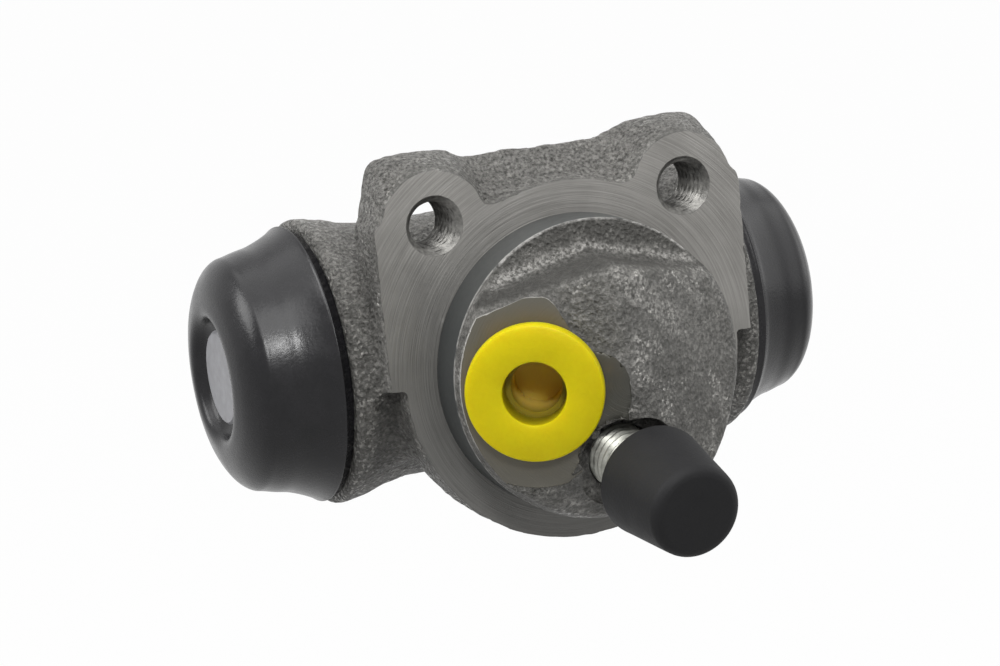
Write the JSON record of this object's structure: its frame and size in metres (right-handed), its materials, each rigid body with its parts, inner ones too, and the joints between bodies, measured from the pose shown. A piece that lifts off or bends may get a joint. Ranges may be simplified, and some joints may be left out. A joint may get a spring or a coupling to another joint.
{
  "type": "drum brake wheel cylinder",
  "caption": "Drum brake wheel cylinder: cast barrel with opposed sprung pistons under rubber boots, faced flange with a spigot, a slanted pipe port with a plug and a capped bleed screw.",
  "frame": {"origin": "spigot centre on the mounting face", "axes": "-Y out of the mounting face, along the spigot; X along the bore; +Z towards the bolt holes"},
  "size_m": [0.0706, 0.0633, 0.0439],
  "materials": {
    "cast_iron": "sand cast, faced and turned where it mates",
    "piston_metal": "matt turned",
    "seal_rubber": "smooth moulded",
    "pressed_steel": "pressed sheet",
    "spring_steel": "drawn wire",
    "boot_rubber": "semi-gloss moulded",
    "plated_steel": "bright zinc",
    "cap_rubber": "matt moulded",
    "plug_plastic": "satin moulded"
  },
  "bodies": {
    "housing": {"cylinder_body": "cast_iron", "left_dust_boot": "boot_rubber", "right_dust_boot": "boot_rubber", "return_spring": "spring_steel"},
    "left_piston_group": {"left_piston": "piston_metal", "left_piston_cup": "seal_rubber", "left_cup_expander": "pressed_steel"},
    "right_piston_group": {"right_piston": "piston_metal", "right_piston_cup": "seal_rubber", "right_cup_expander": "pressed_steel"},
    "bleeder": {"bleed_screw": "plated_steel"},
    "bleeder_cap": {"bleed_screw_cap": "cap_rubber"},
    "port_plug": {"inlet_plug": "plug_plastic"}
  },
  "joints": [
    {"name": "left_piston_slide", "type": "slide", "parent": "housing", "child": "left_piston_group", "axis": [-1, 0, 0], "range_m": [-0.002, 0.005], "deforming": ["left_dust_boot", "return_spring"]},
    {"name": "right_piston_slide", "type": "slide", "parent": "housing", "child": "right_piston_group", "axis": [1, 0, 0], "range_m": [-0.002, 0.005], "deforming": ["right_dust_boot", "return_spring"]},
    {"name": "bleed_screw_turn", "type": "hinge", "parent": "housing", "child": "bleeder", "pos_m": [0, -0.00951, -0.00884], "axis": [0, -0.9903, -0.1392], "range_deg": [0, 180]},
    {"name": "bleed_cap_pull", "type": "slide", "parent": "bleeder", "child": "bleeder_cap", "axis": [0, -0.9903, -0.1392], "range_m": [0, 0.012]},
    {"name": "inlet_plug_pull", "type": "slide", "parent": "housing", "child": "port_plug", "axis": [-0.4509, -0.8926, 0], "range_m": [0, 0.012]}
  ]
}
